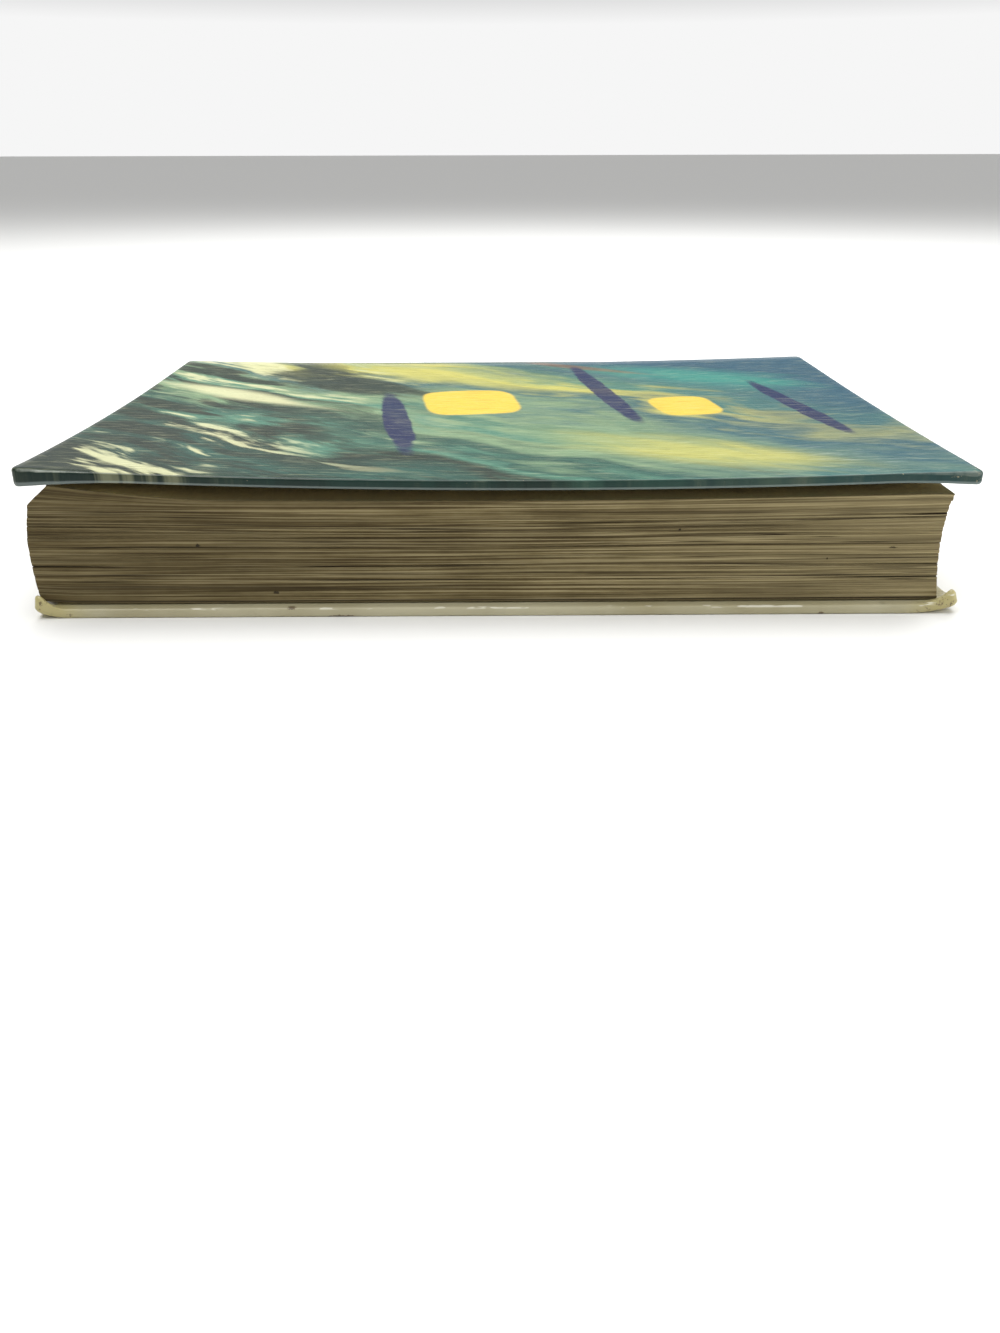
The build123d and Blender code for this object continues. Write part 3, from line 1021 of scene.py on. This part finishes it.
@dataclass
class Cover:
    """One cover: a board, the covering wrapped round it and the paper pasted inside."""

    side: Side
    warp: Warp
    corners: tuple[BentCorner, ...]
    outer_face: float
    covering_thickness: float = 0.28 * MM
    skin: float = 0.3 * MM
    board_level: float = 2.2 * MM
    inner_level: float = 2.5 * MM
    paper_level: float = 2.7 * MM
    turn_in: float = 15 * MM
    paper_margin: float = 4 * MM
    paper_sink: float = 0.1 * MM
    fore_corner: float = 2.0 * MM
    spine_corner: float = 2.5 * MM
    edge_round: float = 0.6 * MM
    rim: float = 2.4 * MM
    rim_cuts: tuple[float, ...] = (0.0, 1.2, 2.6, 4.4, 6.6, 9.2)
    cell: float = 3.0 * MM
    sink_cut: float = 0.6 * MM
    sink_half: float = 0.7 * MM
    spine_edge: float = 81 * MM

    def slab(self, name: str, inset: float, first: float, last: float) -> MeshBench:
        """A plain slab between two levels, which count from the outer face.

        Args:
            name: the new piece's name.
            inset: how far the slab stays inside the cover's plan.
            first: the level of its outer side.
            last: the level of its inner side.

        Returns:
            The bench with the slab.
        """
        near = self.outer_face - self.side.value * first
        far = self.outer_face - self.side.value * last
        return MeshBench(
            name,
            Vector((-HALF_LENGTH + inset, FORE_EDGE + inset, min(near, far))),
            Vector((HALF_LENGTH - inset, self.spine_edge - min(inset, self.skin), max(near, far))),
        )

    def round_corners(self, bench: MeshBench, inset: float) -> None:
        """Round a slab's upright corners.

        Args:
            bench: the bench with the slab.
            inset: how far it stays inside the cover's plan, which makes the rounding tighter.
        """
        for at_fore_edge, radius in ((True, self.fore_corner), (False, self.spine_corner)):
            bench.round_edges(
                lambda edge, near=at_fore_edge: runs_along(edge, Axis.UP)
                and (edge.verts[0].co.y < 0) == near,
                radius - inset,
                6,
            )

    def grid(self, bench: MeshBench, margin: float) -> None:
        """Cut a slab into cells, with closer cuts at the fore edge and the ends.

        Args:
            bench: the bench with the slab.
            margin: how far inside the cover's plan the outermost cuts lie.
        """
        ends = [HALF_LENGTH - margin - cut * MM for cut in self.rim_cuts]
        inner = ends[-1]
        bench.slice(Axis.ALONG, [-place for place in ends] + spread(-inner, inner, self.cell) + ends)
        near = [FORE_EDGE + margin + cut * MM for cut in self.rim_cuts]
        bench.slice(Axis.ACROSS, near + spread(near[-1], self.spine_edge - 4 * MM, self.cell))

    def bend(self, bench: MeshBench) -> None:
        """Bend a flat layer as the cover has bent, and let it ride on the cover."""

        def worn(point: Vector) -> Vector:
            """The point on the bent cover."""
            inward = abs(point.z - self.outer_face) / self.inner_level
            moved = point + Vector((0, 0, self.warp.rise(point.x, point.y - FORE_EDGE)))
            for corner in self.corners:
                moved += corner.shift(point, min(inward, 1.0))
            return moved

        bench.note_places(FLAT_PLACE)
        bench.move(worn)
        bench.smooth()
        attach(bench.piece, named(self.side, "cover"))

    def build_covering(self) -> bpy.types.Object:
        """Build the covering, turned in over the board's edges."""
        bench = self.slab(named(self.side, "covering"), 0.0, 0.0, self.inner_level)
        self.round_corners(bench, 0.0)
        bench.round_edges(lambda edge: not runs_along(edge, Axis.UP), self.edge_round, 4)
        self.grid(bench, self.rim)
        window_end = HALF_LENGTH - self.turn_in
        window_fore = FORE_EDGE + self.turn_in
        window_back = self.spine_edge - self.turn_in / 2
        bench.slice(Axis.ALONG, [-window_end, window_end])
        bench.slice(Axis.ACROSS, [window_fore, window_back])
        inner_face = self.outer_face - self.side.value * self.inner_level

        def in_window(polygon: bmesh.types.BMFace) -> bool:
            """Whether a face of the inner side lies between the turn-ins."""
            middle = polygon.calc_center_median()
            return (
                abs(middle.z - inner_face) < 0.05 * MM
                and abs(middle.x) < window_end
                and window_fore < middle.y < window_back
            )

        bench.drop_faces(in_window)
        bench.thicken(self.covering_thickness)
        self.bend(bench)
        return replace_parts(bench.piece, named(self.side, "cover_wrap"))

    def build_board(self) -> bpy.types.Object:
        """Build the stiff board inside the covering."""
        bench = self.slab(named(self.side, "stiff_board"), self.skin, self.skin, self.board_level)
        self.round_corners(bench, self.skin)
        self.grid(bench, self.rim)
        self.bend(bench)
        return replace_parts(bench.piece, named(self.side, "board"))

    def build_pastedown(self) -> bpy.types.Object:
        """Build the endpaper pasted over the turn-ins, sunk a little between them."""
        first = self.inner_level + 0.01 * MM
        bench = self.slab(named(self.side, "pasted_paper"), self.paper_margin, first, self.paper_level)
        self.grid(bench, self.paper_margin + 2 * MM)
        ridge = self.turn_in
        inside, outside = ridge + self.sink_cut, ridge - self.sink_cut
        for place in (inside, outside):
            bench.slice(Axis.ALONG, [place - HALF_LENGTH, HALF_LENGTH - place])
        bench.slice(Axis.ACROSS, [FORE_EDGE + outside, FORE_EDGE + inside])

        def sunk(point: Vector) -> Vector:
            """The point where the paper sinks onto the board."""
            from_rim = min(HALF_LENGTH - abs(point.x), point.y - FORE_EDGE)
            depth = self.paper_sink * ease(ridge - self.sink_half, ridge + self.sink_half, from_rim)
            return point + Vector((0, 0, self.side.value * depth))

        bench.move(sunk)
        self.bend(bench)
        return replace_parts(bench.piece, named(self.side, "pastedown"))


@dataclass
class JointStrip:
    """The covering's strip across a joint, laid flat at its cover's level."""

    side: Side
    spine_side_y: float = 84.15 * MM
    cover_side_y: float = 80.95 * MM
    thickness: float = 0.3 * MM
    inset: float = 0.4 * MM
    front_level: float = 30.6 * MM
    back_level: float = 2.7 * MM
    cells_along: int = 40
    cells_across: int = 11

    def build(self) -> bpy.types.Object:
        """Build the strip."""
        level = self.front_level if self.side is Side.FRONT else self.back_level
        half = HALF_LENGTH - self.inset
        low = Vector((-half, self.cover_side_y, level))
        high = Vector((half, self.spine_side_y, level + self.thickness))
        bench = MeshBench(named(self.side, "joint_strip"), low, high)
        bench.divide(Axis.ALONG, self.cells_along)
        bench.divide(Axis.ACROSS, self.cells_across)
        bench.smooth()
        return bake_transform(bench.piece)


# Spine


def rounded_path(corners: list[Vector], radius: float, steps: int = 6) -> list[Vector]:
    """Round every inner corner of a path.

    Args:
        corners: the path's points in a plane.
        radius: how far before and after a corner its rounding runs.
        steps: the points that make one rounding.

    Returns:
        The points of the rounded path.
    """
    path = [corners[0]]
    for before, corner, after in zip(corners, corners[1:], corners[2:]):
        start = corner + (before - corner).normalized() * radius
        end = corner + (after - corner).normalized() * radius
        for step in range(steps + 1):
            share = step / steps
            path.append(start.lerp(corner, share).lerp(corner.lerp(end, share), share))
    return path + [corners[-1]]


def outward(path: list[Vector], row: int) -> Vector:
    """The direction that looks away from a path.

    Args:
        path: the points of the path in a plane.
        row: the number of the point.

    Returns:
        The unit direction to the path's left.
    """
    run = path[min(row + 1, len(path) - 1)] - path[max(row - 1, 0)]
    return Vector((-run.y, run.x)).normalized()


@dataclass
class SpineCovering:
    """The covering from joint to joint round the spine, and its turned-in head and tail."""

    thickness: float = 0.3 * MM
    strip_start: float = 84.15 * MM
    groove_wall: float = 87 * MM
    strip_half: float = 14.1 * MM
    ridge_half: float = 15.6 * MM
    middle_height: float = 16.8 * MM
    apex: float = 92 * MM
    radius: float = 61.84 * MM
    ridge_round: float = 0.7 * MM
    arc_share: float = 0.93
    arc_pace: float = 1.2 * MM
    arc_steps: int = 24
    cells_along: int = 90
    board_thickness: float = 0.8 * MM
    board_inset: float = 0.8 * MM
    turn_in: float = 15 * MM
    fold_round: float = 0.25 * MM
    fray: float = 0.14 * MM
    fray_reach: float = 7 * MM

    def back(self, height: float, depth: float = 0.0) -> float:
        """Y of the rounded back.

        Args:
            height: the height from the back's middle.
            depth: how far under the covering's outer face.

        Returns:
            The place across the book.
        """
        return self.apex - self.radius + math.sqrt((self.radius - depth) ** 2 - height**2)

    def section(self) -> list[Vector]:
        """The outer line of the covering across the spine, from the front joint to the back one."""
        arc_half = self.ridge_half * self.arc_share
        corners = [
            Vector((self.strip_start, self.strip_half)),
            Vector((self.groove_wall, self.strip_half)),
            Vector((self.groove_wall, self.ridge_half)),
            Vector((self.back(self.ridge_half), self.ridge_half)),
            Vector((self.back(arc_half), arc_half)),
        ]
        upper = rounded_path(corners, self.ridge_round)
        heights = spread(arc_half, -arc_half, -self.arc_pace)
        round_back = [Vector((self.back(height), height)) for height in heights]
        lower = [Vector((point.x, -point.y)) for point in reversed(upper)]
        return upper + round_back + lower

    def build(self) -> bpy.types.Object:
        """Build the covering as a flat strip wrapped round the spine."""
        path = self.section()
        rows = len(path) - 1
        low = Vector((-HALF_LENGTH, 0, 0))
        bench = MeshBench("spine_covering", low, Vector((HALF_LENGTH, rows * MM, self.thickness)))
        bench.divide(Axis.ALONG, self.cells_along)
        bench.divide(Axis.ACROSS, rows - 1)

        def wrapped(point: Vector) -> Vector:
            """The flat strip's point on the spine."""
            row = round(point.y / MM)
            place = path[row] - outward(path, row) * (self.thickness - point.z)
            moved = Vector((point.x, place.x, place.y + self.middle_height))
            end = ease(self.fray_reach, 0.0, HALF_LENGTH - abs(point.x))
            end *= ease(0.2, 0.6, min(row, rows - row) / 10)
            rough = noise.noise_vector(Vector((point.x, place.x, place.y)) * 300) * self.fray * end
            return moved + Vector((0, min(rough.y, 0.0), rough.z))

        bench.move(wrapped)
        bench.smooth()
        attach(bench.piece, "book_block")
        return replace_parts(bench.piece, "spine_wrap")

    def build_turn_in(self, end: End) -> bpy.types.Object:
        """Build the covering's end, folded over the spine board and pasted inside.

        Args:
            end: the end of the spine.

        Returns:
            The turned-in piece.
        """
        deepest = self.thickness + self.board_thickness + self.thickness
        tip = HALF_LENGTH
        corners = [
            Vector((tip, self.thickness)),
            Vector((tip, deepest)),
            Vector((tip - self.turn_in, deepest)),
        ]
        fold = rounded_path(corners, self.fold_round)
        rows = len(fold) - 1
        half = self.ridge_half - self.board_inset
        low = Vector((-rows * MM, -half, 0))
        bench = MeshBench(named(end, "spine_turn_in"), low, Vector((0, half, self.thickness)))
        bench.divide(Axis.ALONG, rows - 1)
        bench.divide(Axis.ACROSS, self.arc_steps)

        def folded(point: Vector) -> Vector:
            """The flat end's point once it is folded in."""
            row = round(-point.x / MM)
            place = fold[row] + outward(fold, row) * point.z
            y = self.back(point.y, place.y)
            return Vector((end.value * place.x, y, self.middle_height + point.y))

        bench.move(folded)
        bench.turn_out()
        bench.smooth()
        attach(bench.piece, "book_block")
        return bench.piece


# Leaves


@dataclass(frozen=True)
class LeafStack:
    """The form of the pile of leaves: sagged, hollow at the fore edge, curled at one corner."""

    bottom: float = 3.2 * MM
    top: float = 30.4 * MM
    half_length: float = 114.3 * MM
    fore: float = -89 * MM
    back: float = 90.1 * MM
    sag: float = 2.0 * MM
    hollow: float = 1.5 * MM
    tail_drift: float = 1.8 * MM
    head_drift: float = 0.5 * MM
    foot_spread: float = 0.7 * MM
    back_round: float = 1.75 * MM
    middle_drop: float = 1.4 * MM
    end_rise: float = 0.35 * MM
    pushed_up: float = 0.7 * MM
    curl_rise: float = 3.0 * MM
    curl_pull: float = 5.1 * MM
    curled_share: float = 0.066
    tail_tuck: float = 0.6 * MM
    head_flare: float = 0.25 * MM
    shoulder_start: float = 84 * MM
    shoulder_end: float = 87.5 * MM
    shoulder_half: float = 15.2 * MM
    corner_bulge: float = 0.4 * MM

    def shares(self, point: Vector) -> tuple[float, float, float]:
        """A plain block's point as shares: along from -1 to 1, across and up from 0 to 1."""
        return (
            point.x / self.half_length,
            (point.y - self.fore) / (self.back - self.fore),
            (point.z - self.bottom) / (self.top - self.bottom),
        )

    def curl(self, along: float, across: float, up: float) -> float:
        """How far the tail corner's upper leaves curl.

        Args:
            along: the share along the spine, from -1 to 1.
            across: the share from the fore edge to the back.
            up: the share from the bottom to the top.

        Returns:
            The curl, from 0 to 1.
        """
        fan = max((up - 1 + self.curled_share) / self.curled_share, 0.0) ** 1.3
        end = max((-along - 0.6) / 0.4, 0.0) ** 1.5
        depth = max(1 - across / 0.4, 0.0) ** 1.3
        return fan * end * depth

    def place(self, point: Vector) -> Vector:
        """Where a point of the plain block lies in the bound one.

        Args:
            point: the point of the plain block.

        Returns:
            The point once the block is bound, has sagged and is worn.
        """
        along, across, up = self.shares(point)
        swing = 1 - (2 * up - 1) ** 2
        curl = self.curl(along, across, up)
        bulge = self.corner_bulge * ease(0.96, 1.0, along) * ease(0.93, 0.945, up) * ease(0.06, 0.0, across)

        lean = max(1 - across, 0.0)
        drift = blend(self.tail_drift, self.head_drift, (along + 1) / 2)
        x = point.x - (self.sag + drift * swing) * lean + self.curl_pull * curl + bulge
        x += self.foot_spread * along * lean * (1 - min(max(up, 0.0), 1.0))
        x += self.tail_tuck * ease(0.55, 0.95, up) * ease(0.2, -1.0, along) * lean
        x += self.head_flare * ease(0.55, 0.9, up) * ease(-0.2, 1.0, along) * lean

        fore = self.fore + self.hollow * swing
        back = self.back - self.back_round * (2 * up - 1) ** 2
        y = blend(fore, back, across)

        middle = (self.bottom + self.top) / 2
        half = (self.top - self.bottom) / 2
        spreading = ease(self.shoulder_start, self.shoulder_end, y)
        z = middle + (point.z - middle) * blend(1, self.shoulder_half / half, spreading)
        drop = self.middle_drop * (1 - min(along**2, 1.0)) - self.end_rise
        z -= drop * lean**1.5 * max(up, 0.0) ** 1.5
        z += self.curl_rise * curl - 0.5 * bulge
        foot_corner = max(1 - (1 + along) * 12, 0.0) * max(1 - across * 14, 0.0)
        z += self.pushed_up * foot_corner * max(1 - up, 0.0) ** 5
        return Vector((x, y, z))


@dataclass
class PageBlock:
    """The sewn leaves, with the edge of each bundle of leaves standing a little in or out.

    The larger gaps between sections lie at gap_shares of the block's thickness, from its bottom.
    """

    stack: LeafStack
    seed: int = 7
    rows: int = 200
    cells_along: int = 110
    cells_across: int = 46
    leaf_scatter: float = 0.07 * MM
    bundle_scatter: float = 0.2 * MM
    section_gap: float = 0.45 * MM
    small_gaps: int = 44
    bundle_leaves: tuple[int, int] = (3, 13)
    end_share: float = 0.25
    gap_shares: tuple[float, ...] = (
        0.105, 0.2, 0.275, 0.33, 0.43, 0.52, 0.595, 0.72, 0.77, 0.81, 0.883, 0.955, 0.978,
    )
    waviness: float = 0.12 * MM

    def draw_rows(self) -> tuple[list[float], list[float]]:
        """Draw how far each row of leaf edges stands in, and how deep the gap beside it is."""
        draw = random.Random(self.seed)
        shifts = []
        while len(shifts) < self.rows + 2:
            bundle = draw.uniform(-1, 1) * self.bundle_scatter
            leaves = range(draw.randint(*self.bundle_leaves))
            shifts += [bundle + draw.uniform(-1, 1) * self.leaf_scatter for _ in leaves]
        gaps = [0.0] * (self.rows + 2)
        for share in self.gap_shares:
            gaps[round(share * (self.rows + 1))] = draw.uniform(0.5, 1.0)
        for _ in range(self.small_gaps):
            gaps[draw.randrange(4, self.rows)] += draw.uniform(0.1, 0.4)
        # The two lowest rows get a full gap: they stand in, and the leaf material paints their shade dark
        # along the foot of the block.
        gaps[0] = gaps[1] = 1.0
        return shifts, gaps

    def build(self) -> bpy.types.Object:
        """Build the block of leaves."""
        stack = self.stack
        shifts, gaps = self.draw_rows()
        low = Vector((-stack.half_length, stack.fore, stack.bottom))
        bench = MeshBench("page_block", low, Vector((stack.half_length, stack.back, stack.top)))
        bench.divide(Axis.ALONG, self.cells_along)
        bench.divide(Axis.ACROSS, self.cells_across)
        bench.divide(Axis.UP, self.rows)
        mesh = bench.piece.data
        bench.note_places(LEAF_PLACE)
        leaf_gap = mesh.attributes.new(LEAF_GAP, "FLOAT", "POINT")
        for vertex in mesh.vertices:
            point = vertex.co.copy()
            along, across, up = stack.shares(point)
            row = round(up * (self.rows + 1))
            # Each row's gap depth moves its edge in, and is stored for the painted shade of the leaf
            # material.
            fade = noise.noise(Vector((point.x * 22, point.y * 22, row * 1.7)))
            depth = gaps[row] * min(max(0.55 + 0.25 * along + 1.5 * fade, 0.0), 1.0)
            leaf_gap.data[vertex.index].value = min(depth, 1.0)
            wave = 0.6 + 0.4 * noise.noise(Vector((point.x * 40, point.y * 40, row * 0.7)))
            inset = shifts[row] * wave + self.section_gap * depth
            wavy = self.waviness * noise.noise(Vector((point.x * 18, point.y * 18, point.z * 200)))
            moved = stack.place(point + Vector((0, 0, wavy * min(up, 1 - up) * 8)))
            if across < EDGE_SHARE:
                moved.y += inset
            if abs(along) > 1 - EDGE_SHARE:
                moved.x -= math.copysign(inset * self.end_share, along)
            vertex.co = moved
        mesh.update()
        bench.smooth()
        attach(bench.piece, "book_block")
        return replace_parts(bench.piece, "text_block")


@dataclass
class Flyleaf:
    """The free endpaper over or under the block, lying as the leaves next to it do."""

    side: Side
    stack: LeafStack
    thickness: float = 0.2 * MM
    hairline: float = 0.02 * MM
    spine_side: float = 86.9 * MM
    cells_along: int = 90
    cells_across: int = 60

    def build(self) -> bpy.types.Object:
        """Build the leaf."""
        stack = self.stack
        level = stack.top if self.side is Side.FRONT else stack.bottom
        low = Vector((-stack.half_length, stack.fore, level))
        high = Vector((stack.half_length, self.spine_side, level + self.thickness))
        bench = MeshBench(named(self.side, "free_endpaper"), low, high)
        bench.divide(Axis.ALONG, self.cells_along)
        bench.divide(Axis.ACROSS, self.cells_across)

        def laid(point: Vector) -> Vector:
            """The point on the leaf that lies against the block."""
            over = self.thickness if point.z > level + self.thickness / 2 else self.hairline
            base = stack.place(Vector((point.x, point.y, level)))
            return base + Vector((0, 0, self.side.value * over))

        bench.note_places(FLAT_PLACE)
        bench.move(laid)
        if self.side is Side.BACK:
            bench.turn_out()
        bench.smooth()
        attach(bench.piece, "book_block")
        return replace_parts(bench.piece, named(self.side, "flyleaf"))


# Studio


@dataclass
class Studio:
    """The floor, the soft light and the camera of the photograph's view."""

    camera_place: tuple[float, float, float] = (-1.81 * MM, -349.63 * MM, 107.71 * MM)
    pitch: float = math.radians(25.33)
    yaw: float = math.radians(0.475)
    roll: float = math.radians(0.141)
    lens: float = 29.44
    sensor: float = 36.0
    aim: tuple[float, float, float] = (0.0, 0.0, 20 * MM)

    def build(self) -> None:
        """Set up the floor, the lights and the camera."""
        self.add_floor()
        self.add_light("key_light", (0.1, 0.55, 1.1), 1.4, 21)
        self.add_light("fill_light", (0.5, -1.2, 0.6), 1.2, 2.5)
        self.add_light("head_light", (1.0, -0.35, 0.45), 0.8, 4)
        self.add_light("rim_light", (-0.35, -0.3, 0.95), 0.3, 3)
        self.add_sky()
        bpy.context.scene.view_settings.view_transform = "Standard"
        self.add_camera()

    def add_sky(self) -> None:
        """Surround the book with a room that is pale at the floor, dim above and bright overhead."""
        world = bpy.data.worlds.new("studio_room")
        bpy.context.scene.world = world
        world.use_nodes = True
        bench = NodeBench(world.node_tree)
        direction = bench.node("ShaderNodeTexCoord", output="Generated")
        _, _, up = bench.parts(direction)
        pale, dim, bright = (paint(tone, tone, tone) for tone in (246, 70, 255))
        room = bench.ramp(up, (0.0, pale), (0.09, pale), (0.17, dim), (0.55, dim), (0.85, bright))
        background = world.node_tree.nodes["Background"]
        world.node_tree.links.new(room.socket, background.inputs["Color"])
        background.inputs["Strength"].default_value = 1.0

    def add_floor(self) -> None:
        """Lay the pale floor."""
        bpy.ops.object.select_all(action="DESELECT")
        bpy.ops.mesh.primitive_plane_add(size=60, location=(0, 0, 0))
        floor = bpy.context.object
        floor.name = "floor"
        dress(floor, PaleFloor().material())

    def add_light(self, name: str, place: tuple[float, float, float], size: float, power: float) -> None:
        """Hang a square soft light that faces the book.

        Args:
            name: the light's name.
            place: where it hangs.
            size: the length of its side.
            power: its watts.
        """
        lamp = bpy.data.lights.new(name, "AREA")
        lamp.size = size
        lamp.energy = power
        holder = bpy.data.objects.new(name, lamp)
        bpy.context.scene.collection.objects.link(holder)
        holder.location = place
        aim = Vector(self.aim) - Vector(place)
        holder.rotation_euler = aim.to_track_quat("-Z", "Y").to_euler()

    def add_camera(self) -> None:
        """Set the camera at the photograph's place and angle."""
        forward = Vector(
            (
                math.sin(self.yaw) * math.cos(self.pitch),
                math.cos(self.yaw) * math.cos(self.pitch),
                -math.sin(self.pitch),
            )
        )
        level_right = Vector((math.cos(self.yaw), -math.sin(self.yaw), 0))
        level_down = forward.cross(level_right)
        right = level_right * math.cos(self.roll) + level_down * math.sin(self.roll)
        down = level_down * math.cos(self.roll) - level_right * math.sin(self.roll)
        axes = Matrix((right, -down, -forward)).transposed().to_4x4()
        lens = bpy.data.cameras.new("photo_camera")
        lens.lens = self.lens
        lens.sensor_width = self.sensor
        lens.sensor_fit = "AUTO"
        lens.clip_start = 0.01
        camera = bpy.data.objects.new("photo_camera", lens)
        bpy.context.scene.collection.objects.link(camera)
        camera.matrix_world = Matrix.Translation(self.camera_place) @ axes
        bpy.context.scene.camera = camera


# The whole book


def report(piece: bpy.types.Object) -> None:
    """Log a finished piece."""
    log.info("%s has %d faces", piece.name, len(piece.data.polygons))


def main() -> None:
    """Build every piece in order, dress it and report it."""
    logging.basicConfig(level=logging.INFO, format="%(name)s: %(message)s")
    noise.seed_set(FRAY_SEED)
    printed = PrintedCovering().material()
    cream = CreamCovering().material()
    leaves = LeafEdges().material()
    endpaper = PlainPaper("endpaper", paint(184, 172, 134), paint(150, 136, 98)).material()
    board = PlainPaper("binders_board", paint(150, 138, 112), paint(120, 108, 84), 900).material()
    lining = WovenCloth("lining_cloth", paint(206, 200, 184), paint(206, 200, 184)).material()
    banding = WovenCloth("band_cloth", paint(210, 200, 170), paint(70, 104, 100)).material()

    front_warp = Warp(
        lift=1.9 * MM,
        tail_at_spine=1.4 * MM,
        tail_at_fore_edge=3.5 * MM,
        head_at_spine=2.2 * MM,
        head_at_fore_edge=2.05 * MM,
    )
    front_corners = (
        BentCorner(
            End.TAIL,
            rise=0.1 * MM,
            reach=30 * MM,
            swell=-2.3 * MM,
            swell_reach=28 * MM,
            blunt=-0.1 * MM,
            fray=0.12 * MM,
        ),
        BentCorner(
            End.HEAD,
            rise=-0.3 * MM,
            reach=20 * MM,
            swell=-0.95 * MM,
            swell_reach=22 * MM,
            blunt=-0.6 * MM,
            fray=0.15 * MM,
        ),
    )
    back_corners = (
        BentCorner(
            End.TAIL,
            rise=2.6 * MM,
            reach=7.5 * MM,
            swell=3.0 * MM,
            swell_reach=7.0 * MM,
            blunt=-0.3 * MM,
            fray=0.3 * MM,
            nose=1.0 * MM,
            bull=0.6 * MM,
        ),
        BentCorner(
            End.HEAD,
            rise=2.4 * MM,
            reach=13 * MM,
            swell=2.4 * MM,
            swell_reach=9 * MM,
            blunt=0.45 * MM,
            fray=0.4 * MM,
            nose=1.4 * MM,
            bull=0.9 * MM,
        ),
    )
    for cover, covering_finish, slot in (
        (Cover(Side.FRONT, front_warp, front_corners, 33.6 * MM), printed, "printed_covering"),
        (Cover(Side.BACK, Warp(), back_corners, 0.0), cream, "cream_covering"),
    ):
        for piece, finish, piece_slot in (
            (cover.build_covering(), covering_finish, slot),
            (cover.build_board(), board, "binders_board"),
            (cover.build_pastedown(), endpaper, "endpaper"),
            (JointStrip(cover.side).build(), covering_finish, slot),
        ):
            dress(piece, finish)
            report(piece)

    spine = SpineCovering()
    spine_finish = SpineCloth().material()
    for piece in (spine.build(), spine.build_turn_in(End.HEAD), spine.build_turn_in(End.TAIL)):
        dress(piece, spine_finish)
        report(piece)

    stack = LeafStack()
    for piece, finish, slot in (
        (PageBlock(stack).build(), leaves, "page_paper"),
        (Flyleaf(Side.FRONT, stack).build(), endpaper, "endpaper"),
        (Flyleaf(Side.BACK, stack).build(), endpaper, "endpaper"),
    ):
        dress(piece, finish)
        report(piece)

    finishes = {
        "spine_board": board,
        "spine_lining": lining,
        "head_band": banding,
        "tail_band": banding,
    }
    for name, material in finishes.items():
        dress(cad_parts[name], material)
        log.info("%s keeps its CAD shape", name)

    Studio().build()


if __name__ == "__main__":
    main()
